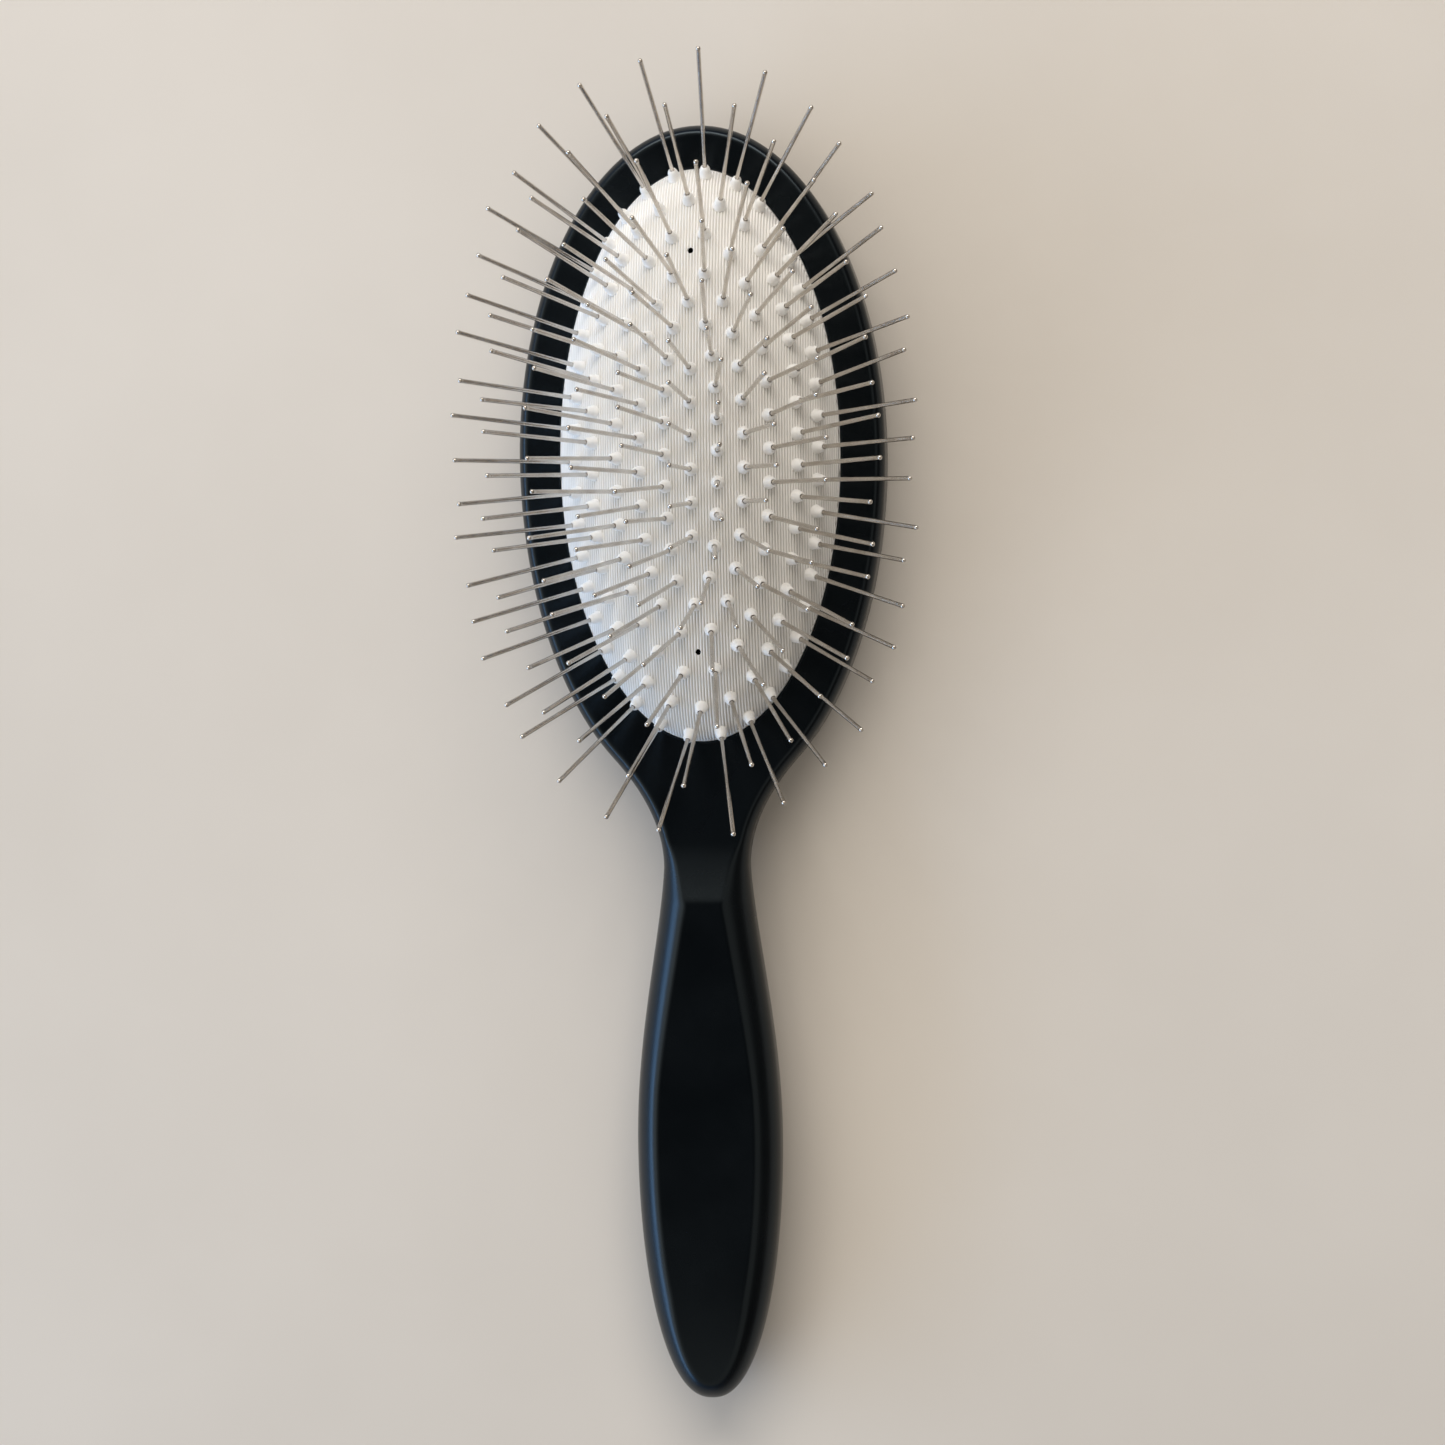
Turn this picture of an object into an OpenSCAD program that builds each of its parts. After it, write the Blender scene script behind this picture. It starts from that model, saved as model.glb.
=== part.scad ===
// Oval pin brush: a one-piece body, a domed air cushion and steel pins.
// The brush lies on its back with the pins up. +Z is up and +Y runs from the handle to the toe
// of the head. The origin is on the flat back of the head, straight below the cushion's centre.
// All sizes are in millimetres.

/* [Head] */
// Width of the oval head
head_w = 69.8; // [66:0.2:76]
// Length of the head from the cushion's centre to the toe
toe_len = 62.3; // [60:0.1:68]
// Length of the oval from the cushion's centre towards the handle
heel_len = 66; // [64:0.5:70]
// Height of the head's face above its back
head_h = 13; // [12:0.5:15]
// Width of the rounded edge round the face
face_edge = 1.6; // [1:0.1:2.5]

/* [Handle] */
// Width of the narrowest place on the neck
neck_w = 16.3; // [14:0.1:20]
// Width of the widest place on the handle
grip_w = 27.6; // [24:0.2:30]
// Distance from the cushion's centre to the end of the handle
handle_len = 179.2; // [172:0.1:190]
// Height of the handle's front facet above the back of the head
grip_h = 15.5; // [15:0.5:19]
// Width of the crisp ridge where the front facet starts
ridge_w = 7.4; // [6:0.2:9]

/* [Cushion] */
// Width of the oval opening that holds the cushion
opening_w = 53.4; // [53:0.1:54.5]
// Length of the oval opening
opening_l = 107.8; // [107:0.1:109]
// Height of the cushion's crown above the face of the head
dome_h = 12.5; // [11.5:0.1:13]
// Thickness of the rubber
rubber_t = 1.4; // [1.2:0.1:1.5]
// Depth of the air chamber below the face of the head
chamber_depth = 7; // [6:0.5:8]
// Diameter of the two air vents
vent_d = 1.1; // [0.8:0.1:1.4]

/* [Pins] */
// Diameter of the pin wire
wire_d = 0.8; // [0.7:0.05:1.1]
// Length of a pin above the rubber
pin_len = 27.8; // [24:0.2:29]
// Diameter of the flattened pin head inside the cushion
pin_head_d = 2; // [1.8:0.1:2.2]

/* [Hidden] */

// Places along the body, measured in Y from the cushion's centre
blend_y = -57;        // the oval of the head turns into the neck
neck_y = -77.5;       // narrowest place
ramp_y = -73;         // the ramp up to the handle starts
ridge_y = -84.2;      // the ramp ends in the ridge
ramp_power = 1.35;    // how hollow the ramp is, where 1 is straight
grip_y = -130;        // widest place of the handle
end_power = 2.3;      // the handle's end is a little fuller than an ellipse

// The front edge lies this far inside the outline at each Y
edge_inset = [[-handle_len, 3.2], [-171, 3.5], [-160, 4.2], [-120, 4.2], [-105, 4.6], [-88, 4.9],
              [ridge_y, swell_half(ridge_y) - ridge_w / 2],
              [ramp_y, face_edge], [toe_len, face_edge]];
// The back's flat lies this far inside the outline at each Y
back_inset = [[-handle_len, 3.2], [-160, 5], [grip_y, 8], [neck_y, 5], [-40, 5], [toe_len, 5]];
// Height of the back at each Y: the neck is relieved and the end lifts off the table
back_lift = [[-handle_len, 3], [-165, 1], [-150, 0], [-115, 0], [neck_y, 2.6],
             [-60, 1.2], [-48, 0], [toe_len, 0]];
// Height of the wall's upper edge and lower edge at each Y
wall_top = [[-handle_len, 9.5], [ridge_y, 9], [-68, head_h - 3], [toe_len, head_h - 2.6]];
wall_base = [[-handle_len, 8], [grip_y, 7.5], [neck_y, 7], [-50, 5], [toe_len, 5]];

crisp = 35;           // the rounded side leaves the front edge at this angle
side_steps = 4;       // bands from the front edge to the wall
back_steps = 5;       // bands from the wall to the back

wall_gap = 0.1;       // play between the cushion and the wood
bead_out = 1.5;       // the cushion's bead reaches this far into the groove
groove_out = 1.7;     // the groove reaches this far past the opening
bead_z = [9.7, 11.1]; // lowest and highest level of the bead
groove_z = [9.6, 11.2];
edge_angle = 50;      // slope of the cushion at its long sides
dome_rings = 7;
ring_facets = 44;
hole_play = 0.04;     // radial play of a pin in the rubber
hole_reach = 5;       // a pin's hole is cut this far each way from the surface
head_depth = 2.9;     // a pin's head lies this far below the rubber's surface
head_t = 0.5;         // thickness of a pin's head
vents = [[-0.1, 37.6], [0.5, -36.9]];

// Each ring of pins: half width, half length, number of pins, first place in pitches
RINGS = [[22.8, 52.4, 42, 0.15], [19.3, 47.3, 38, 0.6], [14.4, 41.1, 30, 0.1],
         [9.8, 34.1, 24, 0.55], [5, 28.1, 20, 0.05]];
ring_power = 2.2;     // the rings are a little fuller than an ellipse
crown_count = 6;
crown_pitch = 6.2;
splay_side = 0.82;    // sideways lean at the opening's edge, as a sine
splay_corner = 0.2;   // extra sideways lean towards the ends
splay_along = 0.345;  // lean along the brush at the opening's edge
splay_end = 0.4;      // extra lean along the brush at the ends
splay_flank = 0.28;   // extra lean along the brush at the sides
splay_toe = 0.04;     // the toe's pins lean this much more than the heel's
unevenness = 0.03;    // each pin of a ring leans a little its own way

// ---- Outline of the body ----
function oval(a, b, y) = a * sqrt(max(0, 1 - pow(y / b, 2)));
function oval_slope(a, b, y) = a * abs(y) / (b * b * sqrt(1 - pow(y / b, 2)));
function hermite(p0, m0, p1, t) =
    p0 * (1 + 2 * t) * pow(1 - t, 2) + m0 * t * pow(1 - t, 2) + p1 * t * t * (3 - 2 * t);
function neck_half(y) = hermite(
    oval(head_w / 2, heel_len, blend_y),
    -oval_slope(head_w / 2, heel_len, blend_y) * (blend_y - neck_y),
    neck_w / 2, (blend_y - y) / (blend_y - neck_y));
function swell_half(y) = neck_w / 2
    + (grip_w - neck_w) / 2 * pow(sin(90 * (neck_y - y) / (neck_y - grip_y)), 1.35);

toe = [for (t = [0:7.5:82.5]) [head_w / 2 * sin(t), toe_len * cos(t)]];
heel = [for (y = [0:-6:blend_y + 1]) [oval(head_w / 2, heel_len, y), y]];
neck = [for (i = [0:5]) let (y = blend_y + (neck_y - blend_y) * i / 6) [neck_half(y), y]];
swell = [for (y = [neck_y, -81, ridge_y, -88, -93, -99, -106, -114, -122]) [swell_half(y), y]];
end = [for (t = [90:-7.5:0])
    [grip_w / 2 * pow(sin(t), 2 / end_power), grip_y - (handle_len + grip_y) * cos(t)]];
outline = concat(toe, heel, neck, swell, end);
last = len(outline) - 1;

// Inward direction at point i of the outline
function mirror_x(p) = [-p.x, p.y];
function before(i) = i == 0 ? mirror_x(outline[1]) : outline[i - 1];
function after(i) = i == last ? mirror_x(outline[last - 1]) : outline[i + 1];
function inward(i) = let (d = after(i) - before(i)) [d.y, -d.x] / norm(d);

// Front height at each Y: face, hollow ramp, then the handle's facet
function front_z(y) = y > ramp_y ? head_h
    : y > ridge_y ? head_h + (grip_h - head_h) * pow((ramp_y - y) / (ramp_y - ridge_y), ramp_power)
    : y > -150 ? grip_h : grip_h - 1.5 * pow((y + 150) / 28, 2);

// One point of the skin. u is 0 at the front edge, 1 at the wall and 2 at the back.
function skin(i, u) =
    let (p = outline[i],
         a = crisp + (90 - crisp) * min(u, 1),
         b = 90 * max(u - 1, 0),
         inset_by = u <= 1
             ? lookup(p.y, edge_inset) * (1 - (sin(a) - sin(crisp)) / (1 - sin(crisp)))
             : lookup(p.y, back_inset) * (1 - cos(b)),
         q = p + inward(i) * inset_by,
         top = lookup(p.y, wall_top),
         low = lookup(p.y, wall_base),
         z = u <= 1 ? top + (front_z(q.y) - top) * cos(a) / cos(crisp)
                    : lookup(q.y, back_lift) + (low - lookup(q.y, back_lift)) * (1 - sin(b)))
    [i == 0 || i == last ? 0 : q.x, q.y, z];

function flip(p) = [-p.x, p.y, p.z];
function skin_ring(u) = concat([for (i = [0:last]) skin(i, u)],
                               [for (i = [last - 1:-1:1]) flip(skin(i, u))]);
levels = concat([for (k = [0:side_steps]) k / side_steps],
                [for (k = [0:back_steps]) 1.0001 + 0.9999 * k / back_steps]);

// Faces of a tube of rings, n points to a ring
function tube_faces(rings, n) = [for (k = [0:rings - 2], j = [0:n - 1])
    let (a = k * n + j, b = k * n + (j + 1) % n)
    each [[a, b, b + n], [a, b + n, a + n]]];
// Faces that close a ring left to right
function strip_faces(first, n, half) = concat(
    [[first, first + 1, first + n - 1]],
    [for (i = [1:half - 2]) each [[first + i, first + i + 1, first + n - i - 1],
                                  [first + i, first + n - i - 1, first + n - i]]],
    [[first + half - 1, first + half, first + half + 1]]);
function reversed(faces) = [for (f = faces) [f[2], f[1], f[0]]];

module ellipse(grow, steps = 72) {
    polygon([for (t = [0:360 / steps:359.9])
        [(opening_w / 2 + grow) * cos(t), (opening_l / 2 + grow) * sin(t)]]);
}

module handle_body() {
    n = 2 * last;
    points = [for (u = levels) each skin_ring(u)];
    faces = concat(reversed(strip_faces(0, n, last)),
                   tube_faces(len(levels), n),
                   strip_faces((len(levels) - 1) * n, n, last));
    color([0.03, 0.03, 0.035])
    difference() {
        polyhedron(points, faces, convexity = 4);
        translate([0, 0, head_h - chamber_depth])
            linear_extrude(chamber_depth + 1) ellipse(0);
        translate([0, 0, groove_z[0]])
            linear_extrude(groove_z[1] - groove_z[0]) ellipse(groove_out);
    }
}

// ---- Cushion ----
// Height of a dome over the oval a by b: every cross-section is an arc with the same edge angle
function dome(a, b, x, y) =
    let (w = max(oval(a, b, y), 0.001), r = w / sin(edge_angle))
    (sqrt(max(0, r * r - x * x)) - r * cos(edge_angle))
    * dome_h / (opening_w / 2 * tan(edge_angle / 2));
function rubber_z(x, y) = head_h + dome(opening_w / 2, opening_l / 2, x, y);

// A ring of the cushion's skin at s times the size of the oval
function dome_ring(inset_by, drop, s) =
    let (a = opening_w / 2 - inset_by, b = opening_l / 2 - inset_by)
    [for (j = [0:ring_facets - 1]) let (t = 360 * j / ring_facets, x = a * s * cos(t), y = b * s * sin(t))
        [x, y, head_h - drop + (s < 1 ? dome(a, b, x, y) : 0)]];
function flat_ring(grow, z) =
    [for (j = [0:ring_facets - 1]) let (t = 360 * j / ring_facets)
        [(opening_w / 2 + grow) * cos(t), (opening_l / 2 + grow) * sin(t), z]];

dome_steps = [for (k = [1:dome_rings]) pow(k / dome_rings, 0.8)];
inner_drop = rubber_t - dome_h * rubber_t / (opening_w / 2);

module pad_shell() {
    n = ring_facets;
    rings = concat(
        [for (s = dome_steps) dome_ring(wall_gap, 0, s)],
        [flat_ring(-wall_gap, bead_z[1]), flat_ring(bead_out, bead_z[1]),
         flat_ring(bead_out, bead_z[0]), flat_ring(-rubber_t, bead_z[0])],
        [for (k = [dome_rings - 1:-1:0]) dome_ring(rubber_t, inner_drop, dome_steps[k])]);
    body = [for (r = rings) each r];
    points = concat(body, [[0, 0, rubber_z(0, 0)], [0, 0, rubber_z(0, 0) - rubber_t]]);
    crown = len(body);
    foot = crown - n;
    faces = concat(
        [for (j = [0:n - 1]) [crown, (j + 1) % n, j]],
        tube_faces(len(rings), n),
        [for (j = [0:n - 1]) [crown + 1, foot + j, foot + (j + 1) % n]]);
    polyhedron(points, reversed(faces), convexity = 4);
}

module cushion_pad() {
    color([0.93, 0.93, 0.92])
    difference() {
        pad_shell();
        for (ring = [0:len(RINGS)]) at_pins(ring)
            translate([0, 0, -hole_reach]) cylinder(d = wire_d + 2 * hole_play, h = 2 * hole_reach, $fn = 16);
        for (v = vents) translate([v.x, v.y, head_h]) cylinder(d = vent_d, h = dome_h + 2, $fn = 24);
    }
}

// ---- Pins ----
// Point at angle t of a ring
function full(v) = sign(v) * pow(abs(v), 2 / ring_power);
function ring_point(a, b, t) = [a * full(cos(t)), b * full(sin(t))];
// Running length round a ring, paired with its angle
function arc_table(a, b, steps = 120) =
    let (p = [for (i = [0:steps]) ring_point(a, b, 360 * i / steps)])
    [for (i = 0, s = 0; i <= steps; s = s + (i < steps ? norm(p[i + 1] - p[i]) : 0), i = i + 1)
        [s, 360 * i / steps]];
// Places of a ring's pins, spaced evenly round it
function oval_places(a, b, count, first) =
    let (table = arc_table(a, b), pitch = table[len(table) - 1][0] / count)
    [for (k = [0:count - 1]) ring_point(a, b, lookup((k + first) * pitch, table))];
function places(ring) = ring < len(RINGS)
    ? oval_places(RINGS[ring][0], RINGS[ring][1], RINGS[ring][2], RINGS[ring][3])
    : [for (k = [0:crown_count - 1]) [0, crown_pitch * (k - (crown_count - 1) / 2)]];

// Direction of pin k of a ring, which stands at p. The crown's row has no unevenness.
function own_lean(ring, k) = ring < len(RINGS)
    ? unevenness * [sin(137 * k + 50 * ring), sin(223 * k + 80 * ring)] : [0, 0];
function lean(p, ring, k) =
    let (u = p.x / (opening_w / 2),
         v = p.y / (opening_l / 2),
         own = own_lean(ring, k),
         dx = u * (splay_side + splay_corner * v * v) + own.x,
         dy = v * (splay_along + splay_end * pow(v, 4) + splay_flank * u * u) + splay_toe * v * v + own.y)
    [dx, dy, sqrt(1 - dx * dx - dy * dy)];

// Puts its children at the foot of each pin of a ring, with Z along the pin
module at_pins(ring) {
    spots = places(ring);
    for (k = [0:len(spots) - 1]) {
        p = spots[k];
        d = lean(p, ring, k);
        translate([p.x, p.y, rubber_z(p.x, p.y)])
            rotate([0, acos(d.z), atan2(d.y, d.x)]) children();
    }
}

module pin() {
    r = wire_d / 2;
    tip = [for (t = [0:30:60]) [r * cos(t), pin_len - r + r * sin(t)]];
    rotate_extrude($fn = 24)
        polygon(concat(
            [[0, -head_depth - head_t], [pin_head_d / 2, -head_depth - head_t],
             [pin_head_d / 2, -head_depth], [r, -head_depth]],
            tip, [[0, pin_len]]));
}

module pin_ring(ring) {
    color([0.62, 0.6, 0.57]) at_pins(ring) pin();
}

handle_body();
cushion_pad();
pin_ring(0);  // pins_outer_ring
pin_ring(1);  // pins_second_ring
pin_ring(2);  // pins_third_ring
pin_ring(3);  // pins_fourth_ring
pin_ring(4);  // pins_inner_ring
pin_ring(5);  // pins_crown_row
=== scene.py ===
"""Looks of an oval pin brush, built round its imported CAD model.

Sizes are in millimetres in the row's frame, and become metres when a mesh or a light is made.
"""
import math

import bmesh
import bpy
import numpy as np
from mathutils import Matrix, Vector


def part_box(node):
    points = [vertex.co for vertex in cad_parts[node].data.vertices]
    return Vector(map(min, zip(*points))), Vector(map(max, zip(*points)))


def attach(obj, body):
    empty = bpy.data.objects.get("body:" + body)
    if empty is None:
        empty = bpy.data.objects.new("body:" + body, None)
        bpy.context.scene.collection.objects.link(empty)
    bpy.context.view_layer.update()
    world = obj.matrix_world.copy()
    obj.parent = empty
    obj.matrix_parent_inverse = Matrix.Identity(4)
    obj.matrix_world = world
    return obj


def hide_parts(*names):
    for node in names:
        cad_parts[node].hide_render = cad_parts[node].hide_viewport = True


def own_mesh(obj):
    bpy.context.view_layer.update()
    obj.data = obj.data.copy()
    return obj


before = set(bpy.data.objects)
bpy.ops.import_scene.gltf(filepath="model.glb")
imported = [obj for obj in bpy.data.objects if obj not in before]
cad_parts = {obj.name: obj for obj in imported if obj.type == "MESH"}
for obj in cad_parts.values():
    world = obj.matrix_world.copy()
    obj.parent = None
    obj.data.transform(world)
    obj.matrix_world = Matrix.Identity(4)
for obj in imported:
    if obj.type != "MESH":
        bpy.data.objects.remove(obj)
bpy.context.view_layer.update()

MM = 0.001


def cad_corners(node):
    """Lowest and highest corner of a CAD node, in millimetres."""
    return [np.array(corner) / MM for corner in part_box(node)]


# ---------------------------------------------------------------- camera

CAMERA_AT = (84.8, -32.7, 636.8)
CAMERA_LOOKS_AT = (3.8, -50.3, 13)
CAMERA_ROLL = math.radians(0.65)
CAMERA_LENS = 83.1


def add_camera():
    """Camera above the brush, a little to its right, with the handle towards the picture's foot."""
    data = bpy.data.cameras.new("camera")
    data.lens = CAMERA_LENS
    camera = bpy.data.objects.new("camera", data)
    bpy.context.collection.objects.link(camera)
    back = (Vector(CAMERA_AT) - Vector(CAMERA_LOOKS_AT)).normalized()
    right = Vector((math.sin(CAMERA_ROLL), math.cos(CAMERA_ROLL), 0)).cross(back).normalized()
    turn = Matrix((right, back.cross(right), back)).transposed().to_4x4()
    camera.matrix_world = Matrix.Translation(Vector(CAMERA_AT) * MM) @ turn
    bpy.context.scene.camera = camera


add_camera()
bpy.context.scene.view_settings.view_transform = "Standard"

# ---------------------------------------------------------------- sizes

body_low, body_high = cad_corners("handle_body")
pad_low, pad_high = cad_corners("cushion_pad")

HEAD_HALF, TOE_Y, GRIP_Z = body_high
END_Y = body_low[1]
FACE_Z = 13.0                       # face of the head
CROWN_Z = pad_high[2]               # crown of the cushion
BEAD_OUT = 1.5                      # the cushion's bead reaches this far past the opening
OPEN_HALF = pad_high[0] - BEAD_OUT  # the oval opening's half width and half length
OPEN_LONG = pad_high[1] - BEAD_OUT

HEEL_LEN = 66.0                     # half length of the oval towards the handle
BLEND_Y, NECK_Y, GRIP_Y = -57.0, -77.5, -130.0
RAMP_Y, RIDGE_Y = -73.0, -84.2
RAMP_POWER = 1.35                   # how hollow the ramp is
NECK_HALF, GRIP_HALF = 8.15, 13.8
SWELL_POWER = 1.35                  # how slowly the neck starts to swell into the handle
END_POWER = 2.3                     # the handle's end is a little fuller than an ellipse
RIDGE_HALF = 3.7
DROP_Y, DROP_RUN, DROP = -150.0, 28.0, 1.5   # the front facet falls away from here to the end
CHAMBER_Z = 6.0                     # floor of the air chamber
GROOVE_Z = (9.6, 11.2)              # the groove round the chamber's wall
GROOVE_OUT = 1.7


# ---------------------------------------------------------------- mesh tools

def grid_faces(rows, columns, closed, start=0):
    """Quads of a grid of points. A closed grid joins its last column to its first."""
    faces = []
    for i in range(rows - 1):
        for j in range(columns if closed else columns - 1):
            k = (j + 1) % columns
            faces.append((start + i * columns + j, start + i * columns + k,
                          start + (i + 1) * columns + k, start + (i + 1) * columns + j))
    return faces


def join_grids(grids):
    """Points and quads of several (points, closed) grids; shared edges are welded later."""
    points, faces, start = [], [], 0
    for grid, closed in grids:
        rows, columns = grid.shape[:2]
        faces += grid_faces(rows, columns, closed, start)
        points.append(grid.reshape(-1, 3))
        start += rows * columns
    return np.concatenate(points), faces


WELD = 0.002   # points this near each other become one


def new_piece(name, points, faces, material, crease_deg=40, painted_shade=None):
    """A smooth-shaded mesh piece from points in millimetres, welded and with outward normals.

    The painted shade, if given, holds each point's painted shade from 0 to 1, deepest at the bottom
    of the ribs' grooves, for a material that darkens its colour with it.
    """
    mesh = bpy.data.meshes.new(name)
    mesh.from_pydata((np.asarray(points) * MM).tolist(), [], faces)
    # Painted shade, kept on the points for the material to darken its colour with
    if painted_shade is not None:
        mesh.attributes.new("groove", "FLOAT", "POINT").data.foreach_set("value", np.float32(painted_shade))
    work = bmesh.new()
    work.from_mesh(mesh)
    bmesh.ops.remove_doubles(work, verts=work.verts, dist=WELD * MM)
    bmesh.ops.recalc_face_normals(work, faces=work.faces)
    work.to_mesh(mesh)
    work.free()
    mesh.materials.append(material)
    mesh.shade_smooth()
    mesh.set_sharp_from_angle(angle=math.radians(crease_deg))
    piece = bpy.data.objects.new(name, mesh)
    bpy.context.collection.objects.link(piece)
    return piece


def revolve(profile, sides):
    """Grid of points made by turning (radius, height) points about Z."""
    turns = np.linspace(0, 2 * math.pi, sides, endpoint=False)
    radius, height = np.array(profile).T
    return np.stack([np.outer(radius, np.cos(turns)), np.outer(radius, np.sin(turns)),
                     np.outer(height, np.ones(sides))], axis=-1)


def bezier(a, b, c, steps):
    """Points on a quadratic curve from a to c that is pulled towards b."""
    s = np.linspace(0, 1, steps).reshape(-1, *[1] * a.ndim)
    return (1 - s) ** 2 * a + 2 * s * (1 - s) * b + s ** 2 * c


# ---------------------------------------------------------------- materials

def new_material(name):
    """A node material, its node tree and its shader node."""
    material = bpy.data.materials.new(name)
    material.use_nodes = True
    tree = material.node_tree
    return material, tree, tree.nodes["Principled BSDF"]


def add_node(tree, kind, inputs=None, **settings):
    """A shader node. Each input is a number, a vector or another node's output."""
    node = tree.nodes.new("ShaderNode" + kind)
    for key, value in settings.items():
        setattr(node, key, value)
    for key, value in (inputs or {}).items():
        if isinstance(value, bpy.types.NodeSocket):
            tree.links.new(value, node.inputs[key])
        else:
            node.inputs[key].default_value = value
    return node


def place_on(tree):
    """Object coordinates in metres."""
    return add_node(tree, "TexCoord").outputs["Object"]


def noise(tree, where, scale, detail):
    """A cloudy pattern of about this many patches to a metre."""
    return add_node(tree, "TexNoise", {"Vector": where, "Scale": scale, "Detail": detail,
                                       "Roughness": 0.55}).outputs["Fac"]


def spread(tree, value, low, high, from_low=0.35, from_high=0.65):
    """A value, by default a noise, spread over the range from low to high."""
    return add_node(tree, "MapRange", {"Value": value, "From Min": from_low, "From Max": from_high,
                                       "To Min": low, "To Max": high}).outputs["Result"]


def blend_colours(tree, factor, first, second):
    """Mix of two colours, each given as numbers or as another node's output."""
    node = add_node(tree, "Mix", {"Factor": factor}, data_type="RGBA")
    for key, colour in (("A", first), ("B", second)):
        if isinstance(colour, tuple):
            node.inputs[key].default_value = (*colour, 1)
        else:
            tree.links.new(colour, node.inputs[key])
    return node.outputs["Result"]


def bump(tree, shader, height, distance_mm, strength, below=None):
    """Relief on a shader, over the relief below it if there is one."""
    inputs = {"Height": height, "Distance": distance_mm * MM, "Strength": strength}
    if below is not None:
        inputs["Normal"] = below
    node = add_node(tree, "Bump", inputs)
    tree.links.new(node.outputs["Normal"], shader.inputs["Normal"])
    return node.outputs["Normal"]


def lacquer():
    """Matt black lacquer on wood, with a fine spray grain, faint waves and duller patches."""
    material, tree, shader = new_material("matt_black_lacquer")
    where = place_on(tree)
    spray = noise(tree, where, 4200, detail=2)
    cloud = noise(tree, where, 45, detail=4)
    colour = blend_colours(tree, spread(tree, cloud, 0, 1),
                           (0.0008, 0.0012, 0.0018), (0.0014, 0.0020, 0.0028))
    tree.links.new(colour, shader.inputs["Base Color"])
    rough = spread(tree, cloud, 0.23, 0.28)
    tree.links.new(rough, shader.inputs["Roughness"])
    shader.inputs["IOR"].default_value = 1.38
    shader.inputs["Specular Tint"].default_value = (0.68, 0.86, 1.0, 1)
    wave = noise(tree, where, 260, detail=2)
    under = bump(tree, shader, wave, 0.02, 0.35)
    bump(tree, shader, spray, 0.009, 0.7, below=under)
    return material


def rubber():
    """White moulded rubber, dry and slightly powdery, with painted shade darkening the grooves
    between ribs.
    """
    material, tree, shader = new_material("white_rubber")
    where = place_on(tree)
    cloud = noise(tree, where, 60, detail=4)
    grain = noise(tree, where, 3200, detail=3)
    # Painted shade read from the cushion's points: 1 at the bottom of the ribs' grooves, 0 on the
    # crests, the nubs and the bead
    groove = add_node(tree, "Attribute", attribute_name="groove").outputs["Fac"]
    plain = blend_colours(tree, spread(tree, cloud, 0, 1),
                          (0.945, 0.937, 0.918), (0.965, 0.957, 0.94))
    # Painted shade: the colour darkens to this grey at the bottom of the grooves
    colour = blend_colours(tree, groove, plain, (0.64, 0.625, 0.60))
    tree.links.new(colour, shader.inputs["Base Color"])
    tree.links.new(spread(tree, grain, 0.6, 0.72), shader.inputs["Roughness"])
    shader.inputs["Subsurface Weight"].default_value = 0.15
    shader.inputs["Subsurface Radius"].default_value = (1.0, 0.9, 0.8)
    shader.inputs["Subsurface Scale"].default_value = 0.8 * MM
    bump(tree, shader, grain, 0.015, 0.5)
    return material


def steel():
    """Drawn steel wire: bright, with a fine grain and duller patches."""
    material, tree, shader = new_material("pin_steel")
    where = place_on(tree)
    patch = noise(tree, where, 180, detail=4)
    fine = noise(tree, where, 6000, detail=2)
    colour = blend_colours(tree, spread(tree, patch, 0, 1),
                           (0.52, 0.475, 0.425), (0.66, 0.62, 0.57))
    tree.links.new(colour, shader.inputs["Base Color"])
    tree.links.new(spread(tree, patch, 0.12, 0.22), shader.inputs["Roughness"])
    shader.inputs["Metallic"].default_value = 1.0
    bump(tree, shader, fine, 0.004, 0.4)
    return material


# ---------------------------------------------------------------- the body

def oval(half, length, y):
    """Half width of an ellipse at y."""
    return half * np.sqrt(np.maximum(0, 1 - (y / length) ** 2))


def neck_half(y):
    """Half width where the oval of the head runs into the neck."""
    t = (BLEND_Y - y) / (BLEND_Y - NECK_Y)
    wide = oval(HEAD_HALF, HEEL_LEN, BLEND_Y)
    slope = HEAD_HALF ** 2 * BLEND_Y / (HEEL_LEN ** 2 * wide)
    run = slope * (BLEND_Y - NECK_Y)
    return (wide * (1 + 2 * t) * (1 - t) ** 2 + run * t * (1 - t) ** 2
            + NECK_HALF * t * t * (3 - 2 * t))


def swell_half(y):
    """Half width from the neck to the widest place of the handle."""
    rise = np.sin(math.pi / 2 * (NECK_Y - y) / (NECK_Y - GRIP_Y))
    return NECK_HALF + (GRIP_HALF - NECK_HALF) * rise ** SWELL_POWER


def body_outline():
    """Right half of the outline, from the toe round to the end of the handle."""
    t = np.radians(np.arange(0, 90, 2.5))
    toe = np.stack([HEAD_HALF * np.sin(t), TOE_Y * np.cos(t)], 1)
    y = np.linspace(0, BLEND_Y, 30)[:-1]
    heel = np.stack([oval(HEAD_HALF, HEEL_LEN, y), y], 1)
    y = np.linspace(BLEND_Y, NECK_Y, 21)[:-1]
    neck = np.stack([neck_half(y), y], 1)
    before, after = -82.5, -87.0      # the outline is finer here, beside the ridge
    y = np.concatenate([np.linspace(NECK_Y, before, 11)[:-1], np.arange(before, after, -0.2),
                        np.linspace(after, GRIP_Y, 30)[:-1]])
    swell = np.stack([swell_half(y), y], 1)
    t = np.radians(np.linspace(90, 0, 46))
    end = np.stack([GRIP_HALF * np.sin(t) ** (2 / END_POWER),
                    GRIP_Y + (END_Y - GRIP_Y) * np.cos(t)], 1)
    return np.concatenate([toe, heel, neck, swell, end])


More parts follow.
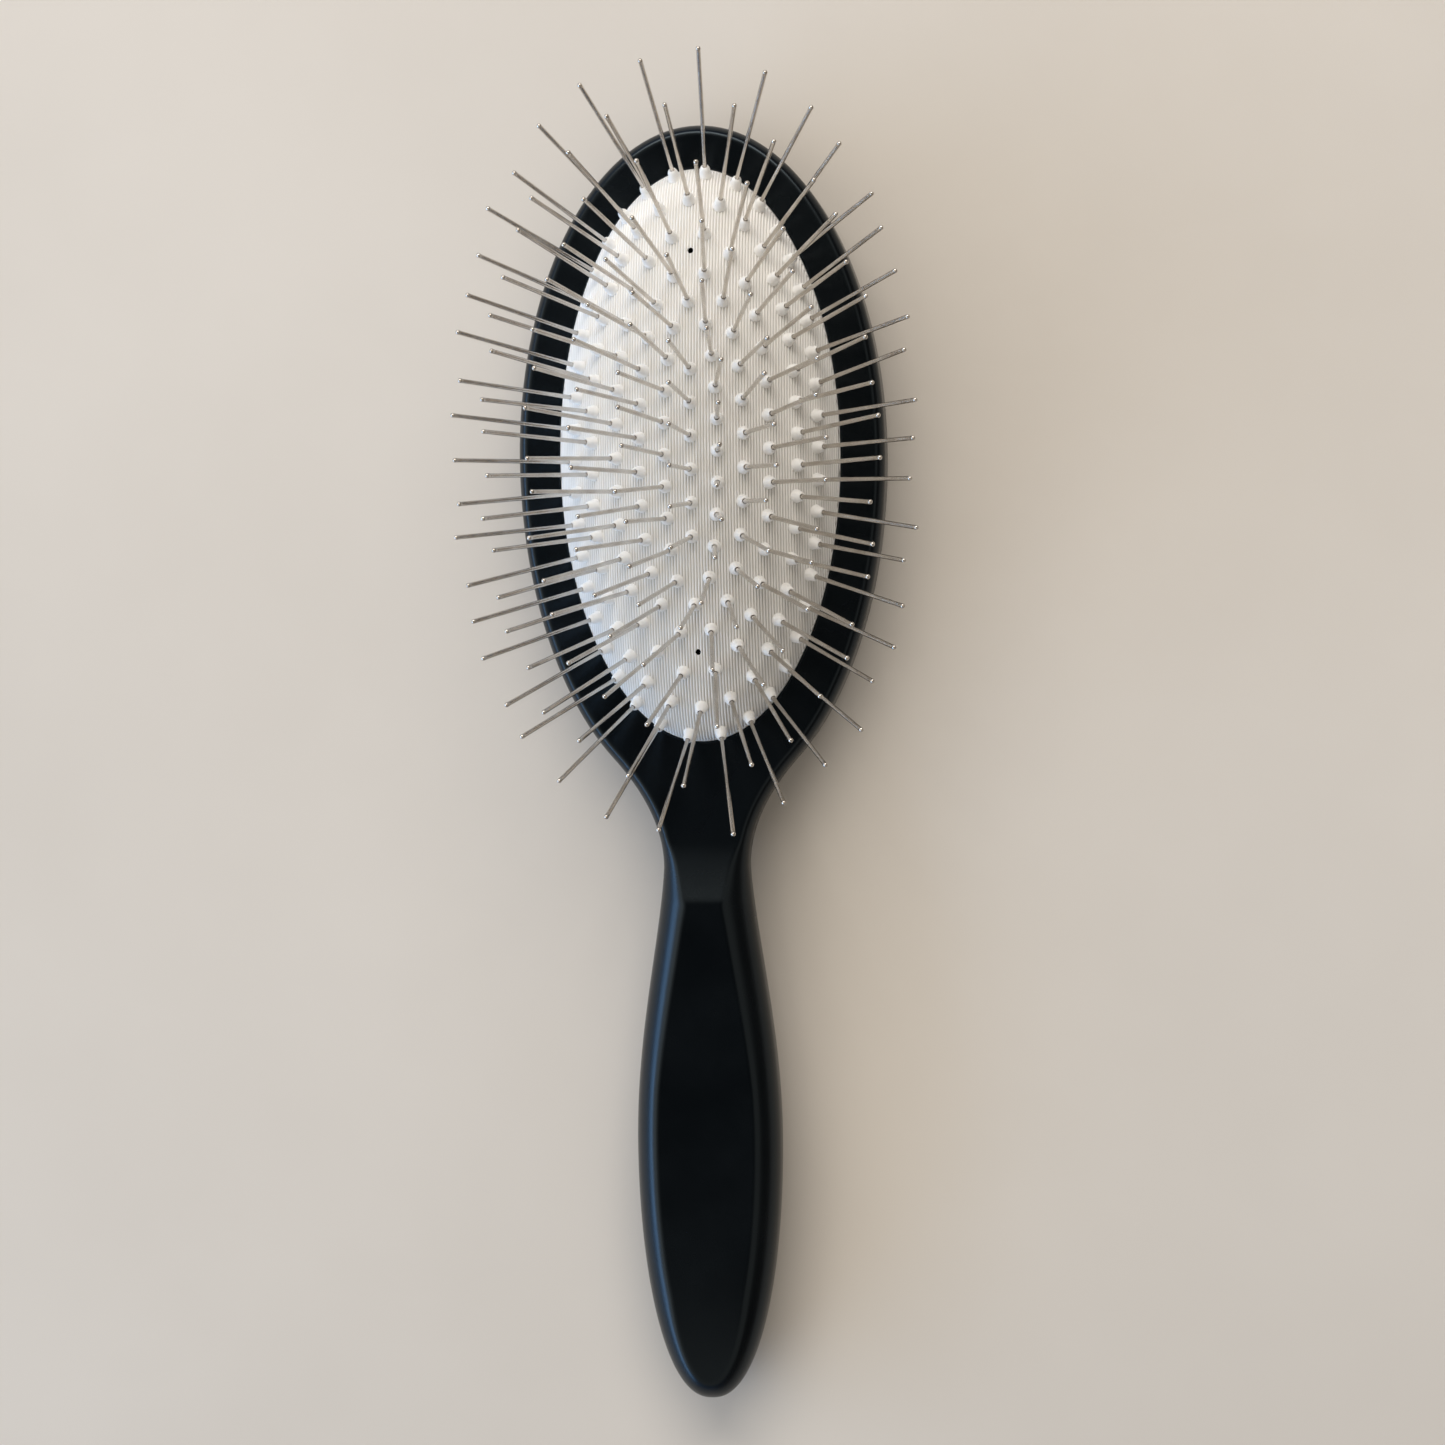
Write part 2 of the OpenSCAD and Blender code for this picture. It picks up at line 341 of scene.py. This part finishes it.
# Each table gives a size at places along Y
EDGE_INSET = [(END_Y, 3.2), (-171, 3.5), (-160, 4.2), (-120, 4.2), (-105, 4.6), (-88, 4.9),
              (RIDGE_Y, swell_half(RIDGE_Y) - RIDGE_HALF), (RAMP_Y, 1.6), (TOE_Y, 1.6)]
EDGE_SOFTEN = 0.4
BACK_INSET = [(END_Y, 3.2), (-160, 5), (GRIP_Y, 8), (NECK_Y, 5), (-40, 5), (TOE_Y, 5)]
BACK_LIFT = [(END_Y, 3), (-165, 1), (-150, 0), (-115, 0), (NECK_Y, 2.6), (-60, 1.2), (-48, 0),
             (TOE_Y, 0)]
WALL_TOP = [(END_Y, 9.5), (RIDGE_Y, 9), (-68, FACE_Z - 3), (TOE_Y, FACE_Z - 2.6)]
WALL_BASE = [(END_Y, 8), (GRIP_Y, 7.5), (NECK_Y, 7), (-50, 5), (TOE_Y, 5)]


def along(table, y, soften=4.0):
    """Size at y, with the table's corners rounded off."""
    places, sizes = np.array(table).T
    return np.mean([np.interp(y + d, places, sizes) for d in np.linspace(-soften, soften, 9)],
                   axis=0)


def front_z(y):
    """Height of the face, the hollow ramp and the handle's front facet, with a soft ridge."""
    climb = np.clip((RAMP_Y - y) / (RAMP_Y - RIDGE_Y), 0, 3)
    ramp = FACE_Z + (GRIP_Z - FACE_Z) * climb ** RAMP_POWER
    facet = GRIP_Z - DROP * np.clip((DROP_Y - y) / DROP_RUN, 0, None) ** 2
    soft = 0.1
    lower = np.exp(-(ramp - GRIP_Z) / soft) + np.exp(-(facet - GRIP_Z) / soft)
    return -soft * np.log(lower) + GRIP_Z


CRISP = math.radians(35)   # the rounded side leaves the front edge at this angle
EDGE_ROUND = 0.6           # rounding of the front edge
ROUND_SHARE = 0.11         # share of the side that the rounding takes
SUPPORT = 0.25             # a ring of points this far beside a rounding keeps it crisp
LIP = 0.35                 # rounding of the opening's edge
FACE_END_Y = -62           # the oval part of the face's mesh ends on this cross-line


def side_point(spot, inward, share):
    """Skin between the front edge, at share 0, and the wall, at share 1."""
    angle = CRISP + (math.pi / 2 - CRISP) * share
    out = (np.sin(angle) - math.sin(CRISP)) / (1 - math.sin(CRISP))
    inset = along(EDGE_INSET, spot[:, 1], EDGE_SOFTEN) * (1 - out)
    flat = spot + inward * inset[:, None]
    top = along(WALL_TOP, spot[:, 1])
    z = top + (front_z(flat[:, 1]) - top) * np.cos(angle) / math.cos(CRISP)
    return np.column_stack([flat, z])


def back_point(spot, inward, share):
    """Skin between the wall's foot, at share 0, and the edge of the back, at share 1."""
    angle = math.pi / 2 * share
    flat = spot + inward * (along(BACK_INSET, spot[:, 1]) * (1 - math.cos(angle)))[:, None]
    lift = along(BACK_LIFT, flat[:, 1])
    low = along(WALL_BASE, spot[:, 1])
    return np.column_stack([flat, lift + (low - lift) * (1 - math.sin(angle))])


def face_point(spot, inward, extra):
    """Point on the front, this far inside the front edge."""
    flat = spot + inward * (along(EDGE_INSET, spot[:, 1], EDGE_SOFTEN) + extra)[:, None]
    return np.column_stack([flat, front_z(flat[:, 1])])


def both_sides(half):
    """A closed ring from its right half, whose first and last point lie on the centre line."""
    half = half.copy()
    half[[0, -1], 0] = 0
    return np.concatenate([half, half[-2:0:-1] * (-1, 1, 1)])


def across(right_edge, columns):
    """Rows of points from the right edge to its mirror image."""
    share = np.linspace(1, -1, columns).reshape(1, -1, 1)
    rows = np.repeat(right_edge[:, None, :], columns, axis=1)
    rows[:, :, :1] = rows[:, :, :1] * share
    return rows


def body_mesh():
    """The one-piece body: skin, face with its oval opening, and the chamber below the cushion."""
    spot = body_outline()
    ahead = np.roll(spot, -1, 0)
    behind = np.roll(spot, 1, 0)
    behind[0] = spot[1] * (-1, 1)
    ahead[-1] = spot[-2] * (-1, 1)
    step = ahead - behind
    inward = np.column_stack([step[:, 1], -step[:, 0]]) / np.linalg.norm(step, axis=1)[:, None]

    on_side = side_point(spot, inward, ROUND_SHARE)
    rounding = bezier(face_point(spot, inward, EDGE_ROUND), face_point(spot, inward, 0), on_side, 5)
    support = face_point(spot, inward, EDGE_ROUND + SUPPORT)
    sides = [side_point(spot, inward, s) for s in np.linspace(ROUND_SHARE, 1, 9)[1:]]
    backs = [back_point(spot, inward, s) for s in np.linspace(0, 1, 10)]
    skin = np.stack([both_sides(half) for half in [support, *rounding, *sides, *backs]])

    join = int(np.argmax(spot[:, 1] < FACE_END_Y))
    handle_face = across(support[join:], 19)
    handle_face[-1, :, 0] = 0
    back_face = across(both_sides(backs[-1])[:len(spot)], 9)

    outer = np.concatenate([support[:join + 1], handle_face[0][1:-1],
                            support[join:0:-1] * (-1, 1, 1)])
    outer[0, 0] = 0
    turn = np.arctan2(outer[:, 0] / OPEN_HALF, outer[:, 1] / OPEN_LONG)

    def oval_ring(grow, z):
        return np.column_stack([(OPEN_HALF + grow) * np.sin(turn),
                                (OPEN_LONG + grow) * np.cos(turn), np.full(len(turn), z)])

    edge = bezier(oval_ring(LIP, FACE_Z), oval_ring(0, FACE_Z), oval_ring(0, FACE_Z - LIP), 5)
    near = oval_ring(LIP + SUPPORT, FACE_Z)
    face = [outer + (near - outer) * s for s in (0, 0.33, 0.66, 1)]
    low, high = GROOVE_Z
    well = [oval_ring(0, high), oval_ring(GROOVE_OUT, high), oval_ring(GROOVE_OUT, low),
            oval_ring(0, low), oval_ring(0, CHAMBER_Z), oval_ring(-OPEN_HALF / 2, CHAMBER_Z)]
    floor = np.broadcast_to(np.array((0, 0, CHAMBER_Z)), well[-1].shape)
    opening = np.stack([*face, *edge, *well, floor])

    return join_grids([(skin, True), (opening, True), (handle_face, False), (back_face, False)])


# ---------------------------------------------------------------- the cushion

EDGE_ANGLE = math.radians(50)    # slope of the cushion at its long sides
WALL_GAP = 0.1                   # play between the cushion and the wood
RUBBER_T = 1.4
RIB_PITCH = 0.55
RIB_DEPTH = 0.35
RIB_POWER = 1.4                  # above 1, the ribs are wider than the grooves
POINTS_PER_RIB = 6
VENTS = ((-0.1, 37.6), (0.5, -36.9))
VENT_R = 0.55
VENT_SIDES = 16
CUSHION_CREASE = 70              # the ribs stay smooth, the rim and the vents' edges are sharp


def dome(half, length, x, y):
    """Height of the cushion over an oval: each cross-section is an arc with the same edge angle."""
    w = np.maximum(oval(half, length, y), 1e-4)
    r = w / math.sin(EDGE_ANGLE)
    rise = np.sqrt(np.maximum(0, r * r - x * x)) - r * math.cos(EDGE_ANGLE)
    return np.maximum(rise, 0) * (CROWN_Z - FACE_Z) / (OPEN_HALF * math.tan(EDGE_ANGLE / 2))


def dome_grid(half, length, columns, rows, height=1.0):
    """Grid of points on a dome. Columns run lengthwise and follow the ribs."""
    r = half / math.sin(EDGE_ANGLE)
    arc = np.linspace(-EDGE_ANGLE, EDGE_ANGLE, columns)
    x = np.clip(r * np.sin(arc), -half, half)[None, :]
    v = np.sin(np.linspace(-math.pi / 2, math.pi / 2, rows))[:, None]
    y = length * np.sqrt(np.maximum(0, 1 - (x / half) ** 2)) * v
    x = np.broadcast_to(x, y.shape)
    return np.stack([x, y, FACE_Z + dome(half, length, x, y) * height], axis=-1)


def grid_normals(grid):
    """Unit normals of a grid of points."""
    along_rows = np.gradient(grid, axis=0)
    along_columns = np.gradient(grid, axis=1)
    normal = np.cross(along_columns, along_rows)
    return normal / np.maximum(np.linalg.norm(normal, axis=-1, keepdims=True), 1e-12)


def cushion_mesh():
    """The domed rubber skin: fine lengthwise ribs outside, smooth inside, closed round the rim.

    The third result is each point's painted shade, from how deep in the ribs' grooves it lies.
    It is less near the toe, where the grooves catch more light.
    """
    half, length = OPEN_HALF - WALL_GAP, OPEN_LONG - WALL_GAP
    ribs = 2 * int(EDGE_ANGLE * half / math.sin(EDGE_ANGLE) / RIB_PITCH)
    columns, rows = ribs * POINTS_PER_RIB + 1, 121
    outer = dome_grid(half, length, columns, rows)
    phase = np.arange(columns) * 2 * math.pi / POINTS_PER_RIB
    dip = RIB_DEPTH * ((1 - np.cos(phase)) / 2) ** RIB_POWER
    normal = grid_normals(outer)
    outer = outer - normal * dip[None, :, None]
    outer[..., 2] = np.maximum(outer[..., 2], FACE_Z)

    inner_half, inner_length = half - RUBBER_T, length - RUBBER_T
    thin = (CROWN_Z - FACE_Z - RUBBER_T) / dome(inner_half, inner_length, 0.0, 0.0)
    inner = dome_grid(inner_half, inner_length, ribs + 1, rows, thin)

    points = np.concatenate([outer.reshape(-1, 3), inner.reshape(-1, 3)])
    # Painted shade: darkest at the bottom of the grooves, and weaker towards the toe, where more
    # light falls into them
    groove_painted_shade = dip / RIB_DEPTH * np.interp(outer[..., 1], (-20, 40), (1, 0.7))
    painted_shade = np.concatenate([groove_painted_shade.ravel(), np.zeros(inner[..., 0].size)])
    start = rows * columns
    faces = grid_faces(rows, columns, False) + grid_faces(rows, ribs + 1, False, start)
    for row in (0, rows - 1):
        for rib in range(ribs):
            dense = [row * columns + rib * POINTS_PER_RIB + k for k in range(POINTS_PER_RIB + 1)]
            sparse = [start + row * (ribs + 1) + rib + 1, start + row * (ribs + 1) + rib]
            faces.append(tuple(dense + sparse))
    return points, faces, painted_shade


def drill_vents(piece):
    """Cuts the two air vents through the rubber.

    A ring of planes scores both skins, the faces inside go, and a wall joins the two openings.
    """
    turns = np.linspace(0, 2 * math.pi, VENT_SIDES, endpoint=False)
    ways = [Vector((math.cos(turn), math.sin(turn), 0)) for turn in turns]
    radius = VENT_R * MM
    work = bmesh.new()
    work.from_mesh(piece.data)
    for vent in VENTS:
        centre = Vector((*vent, 0)) * MM

        def reach(spot):
            """How far a spot lies from the vent's centre, in vent radii."""
            return max((spot - centre).dot(way) for way in ways) / radius

        patch = [face for face in work.faces if reach(face.calc_center_median()) < 6]
        parts = [part for face in patch for part in (*face.edges, *face.verts)]
        patch = list(dict.fromkeys(patch + parts))   # each part once, always in the same order
        for way in ways:
            patch = bmesh.ops.bisect_plane(work, geom=patch, plane_co=centre + way * radius,
                                           plane_no=way)["geom"]
        faces = [part for part in patch if isinstance(part, bmesh.types.BMFace)]
        plug = [face for face in faces if reach(face.calc_center_median()) < 1]
        bmesh.ops.delete(work, geom=plug, context="FACES")
        rims = [edge for edge in work.edges
                if edge.is_boundary and reach(edge.verts[0].co) < 1.2]
        bmesh.ops.bridge_loops(work, edges=rims)
    bmesh.ops.recalc_face_normals(work, faces=work.faces)
    work.to_mesh(piece.data)
    work.free()
    piece.data.set_sharp_from_angle(angle=math.radians(CUSHION_CREASE))


def bead_mesh():
    """The cushion's rim below the face, with the bead that grips the groove in the wood."""
    turn = np.linspace(0, 2 * math.pi, 144, endpoint=False)
    top, high, low = FACE_Z - 0.15, GROOVE_Z[1] - 0.1, GROOVE_Z[0] + 0.1
    bevel = 0.2
    inside = -RUBBER_T - WALL_GAP
    profile = [(-WALL_GAP, top), (-WALL_GAP, high), (BEAD_OUT - bevel, high),
               (BEAD_OUT, high - bevel), (BEAD_OUT, low + bevel), (BEAD_OUT - bevel, low),
               (inside, low), (inside, top)]
    rings = [np.column_stack([(OPEN_HALF + out) * np.cos(turn), (OPEN_LONG + out) * np.sin(turn),
                              np.full(len(turn), z)]) for out, z in [*profile, profile[0]]]
    return join_grids([(np.stack(rings), True)])


# ---------------------------------------------------------------- the pins

# Each ring: its CAD node, body, half width, half length, number of pins, first place in pitches
RINGS = (("pins_outer_ring", "outer_ring", 22.8, 52.4, 42, 0.15),
         ("pins_second_ring", "second_ring", 19.3, 47.3, 38, 0.6),
         ("pins_third_ring", "third_ring", 14.4, 41.1, 30, 0.1),
         ("pins_fourth_ring", "fourth_ring", 9.8, 34.1, 24, 0.55),
         ("pins_inner_ring", "inner_ring", 5.0, 28.1, 20, 0.05))
RING_POWER = 2.2                 # the rings are a little fuller than an ellipse
CROWN_PITCH = 6.2
CROWN_COUNT = 6
# How far a pin leans at the opening's edge: to the side, and more so near the ends; lengthwise,
# and more so at the very ends and along the flanks; and a little more at the toe than at the heel
SPLAY_SIDE, SPLAY_CORNER = 0.82, 0.2
SPLAY_ALONG, SPLAY_END, SPLAY_FLANK = 0.345, 0.4, 0.28
SPLAY_TOE = 0.04
UNEVENNESS = 0.03                # each pin of a ring leans a little its own way
PIN_LEN = 27.8
WIRE_R = 0.4
TIP_R = 0.46
TIP_LEN = 1.1                    # the wire starts to swell this far below its end
PIN_SIDES = 16
HEAD_DEPTH, HEAD_T, HEAD_R = 2.9, 0.5, 1.0   # the flattened head below the rubber
HEAD_FLAT = HEAD_R * 0.8
NUB_SIDES = 20
NUB_H = 1.95
# Half section of the rubber nub round a pin's foot: hole, rounded top, flared skirt and root
NUB_PROFILE = ((0.39, 1.0), (0.45, 1.3), (0.47, NUB_H - 0.08), (0.56, NUB_H), (0.7, 1.87),
               (0.84, 1.65), (0.94, 1.35), (1.0, 1.0), (1.03, 0.6), (1.1, 0.25), (1.25, 0),
               (1.3, -0.35), (1.0, -0.9), (0.39, -0.9), (0.39, 1.0))


def ring_places(half, length, count, first):
    """Evenly spaced places round a ring."""
    def spots(turn):
        full = [np.sign(f) * np.abs(f) ** (2 / RING_POWER) for f in (np.cos(turn), np.sin(turn))]
        return np.column_stack([half * full[0], length * full[1]])

    t = np.linspace(0, 2 * math.pi, 121)
    steps = np.linalg.norm(np.diff(spots(t), axis=0), axis=1)
    run = np.concatenate([[0], np.cumsum(steps)])
    return spots(np.interp((np.arange(count) + first) * run[-1] / count, run, t))


def crown_places():
    """The short row along the crown."""
    y = CROWN_PITCH * (np.arange(CROWN_COUNT) - (CROWN_COUNT - 1) / 2)
    return np.column_stack([np.zeros(CROWN_COUNT), y])


def own_lean(ring, count):
    """What each pin of a ring leans its own way. The crown's row has none."""
    if ring == len(RINGS):
        return np.zeros((count, 2))
    k = np.arange(count)
    turns = np.column_stack([137 * k + 50 * ring, 223 * k + 80 * ring])
    return UNEVENNESS * np.sin(np.radians(turns))


def pin_axes(places, ring):
    """Unit direction of each pin of a ring."""
    u, v = places[:, 0] / OPEN_HALF, places[:, 1] / OPEN_LONG
    splay = np.column_stack([
        u * (SPLAY_SIDE + SPLAY_CORNER * v * v),
        v * (SPLAY_ALONG + SPLAY_END * v ** 4 + SPLAY_FLANK * u * u) + SPLAY_TOE * v * v])
    lean = splay + own_lean(ring, len(places))
    return np.column_stack([lean, np.sqrt(1 - (lean ** 2).sum(1))])


def stand_at(grid, places, axes):
    """Copies of a grid of points, each stood on the cushion with its Z along the pin's axis."""
    copies = []
    for (x, y), axis in zip(places, axes):
        turn = np.array(Vector(axis).to_track_quat("Z", "Y").to_matrix())
        foot = np.array((x, y, FACE_Z + dome(OPEN_HALF, OPEN_LONG, x, y)))
        copies.append((grid @ turn.T + foot, True))
    return join_grids(copies)


def pin_profile():
    """Half section of a pin: the flattened head, the wire and its rounded tip."""
    tip = [(TIP_R * math.cos(a), PIN_LEN - TIP_R + TIP_R * math.sin(a))
           for a in np.radians(np.linspace(-24, 90, 8))]
    return [(0, -HEAD_DEPTH - HEAD_T), (HEAD_FLAT, -HEAD_DEPTH - HEAD_T),
            (HEAD_R, -HEAD_DEPTH - HEAD_T / 2), (HEAD_FLAT, -HEAD_DEPTH),
            (WIRE_R, -HEAD_DEPTH + 0.2), (WIRE_R, PIN_LEN / 2), (WIRE_R, PIN_LEN - TIP_LEN), *tip]


# ---------------------------------------------------------------- build

lacquer_material, rubber_material, steel_material = lacquer(), rubber(), steel()

body = new_piece("lacquered_body", *body_mesh(), lacquer_material, crease_deg=50)
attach(body, "brush_body")
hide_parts("handle_body")

# The cushion's painted shade in its grooves goes with its points to the rubber material
cushion_points, cushion_faces, groove_shade = cushion_mesh()
cushion = new_piece("ribbed_cushion", cushion_points, cushion_faces, rubber_material,
                    crease_deg=CUSHION_CREASE, painted_shade=groove_shade)
drill_vents(cushion)
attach(cushion, "brush_body")
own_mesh(cushion)
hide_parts("cushion_pad")

bead = new_piece("cushion_bead", *bead_mesh(), rubber_material)
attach(bead, "brush_body")


def add_pins(ring, node, body_name, places):
    """A ring's steel pins, and the rubber nubs that they stand in."""
    axes = pin_axes(places, ring)
    label = node.removeprefix("pins_")
    pin, nub = revolve(pin_profile(), PIN_SIDES), revolve(NUB_PROFILE, NUB_SIDES)
    pins = new_piece("steel_pins_" + label, *stand_at(pin, places, axes), steel_material)
    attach(pins, body_name)
    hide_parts(node)
    nubs = new_piece("nubs_" + label, *stand_at(nub, places, axes), rubber_material)
    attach(nubs, body_name)


for ring, (node, body_name, half, length, count, first) in enumerate(RINGS):
    add_pins(ring, node, body_name, ring_places(half, length, count, first))
add_pins(len(RINGS), "pins_crown_row", "crown_row", crown_places())

# ---------------------------------------------------------------- floor and light

def add_floor():
    """A plain pale floor just below the brush."""
    material, tree, shader = new_material("pale_floor")
    where = place_on(tree)
    cloud = noise(tree, where, 9, detail=4)
    colour = blend_colours(tree, spread(tree, cloud, 0, 1),
                           (0.655, 0.61, 0.555), (0.69, 0.645, 0.59))
    tree.links.new(colour, shader.inputs["Base Color"])
    shader.inputs["Roughness"].default_value = 0.55
    steps = np.linspace(-3000, 3000, 9)
    x, y = np.meshgrid(steps, steps)
    grid = np.stack([x, y, np.zeros_like(x)], axis=-1)
    floor = new_piece("floor", *join_grids([(grid, False)]), material)
    floor.location.z = -0.1 * MM


LIT_PLACE = Vector((0, -40, 15))   # every light faces this place on the brush


def add_panel(name, at, size, power, colour):
    """A rectangular soft light that faces the brush."""
    data = bpy.data.lights.new(name, "AREA")
    data.shape = "RECTANGLE"
    data.size, data.size_y = size[0] * MM, size[1] * MM
    data.energy = power
    data.color = colour
    light = bpy.data.objects.new(name, data)
    light.location = Vector(at) * MM
    light.rotation_mode = "QUATERNION"
    light.rotation_quaternion = (Vector(at) - LIT_PLACE).to_track_quat("Z", "Y")
    bpy.context.collection.objects.link(light)


def add_world():
    """A dim room: cool walls on the left, dim ones on the right, a pale ceiling, dark overhead."""
    world = bpy.data.worlds.new("room")
    world.use_nodes = True
    tree = world.node_tree
    direction = add_node(tree, "TexCoord").outputs["Generated"]
    split = add_node(tree, "SeparateXYZ", {"Vector": direction})
    side = spread(tree, split.outputs["X"], 0, 1, -0.6, 0.6)
    walls = blend_colours(tree, side, (0.34, 0.46, 0.68), (0.09, 0.08, 0.07))
    ceiling = spread(tree, split.outputs["Z"], 0, 1, 0.45, 0.6)
    room = blend_colours(tree, ceiling, walls, (0.56, 0.51, 0.44))
    middle = spread(tree, split.outputs["Z"], 0, 1, 0.91, 0.96)
    room = blend_colours(tree, middle, room, (0.02, 0.025, 0.025))
    tree.links.new(room, tree.nodes["Background"].inputs["Color"])
    bpy.context.scene.world = world


add_floor()
add_world()
add_panel("toe_window", (-40, 1050, 960), (1500, 500), 15, (1.0, 0.94, 0.86))
add_panel("side_window", (-1450, -200, 1000), (2400, 1200), 9.5, (1.0, 0.97, 0.90))
add_panel("low_window", (-1300, -500, 400), (1700, 380), 10.5, (0.32, 0.60, 1.0))
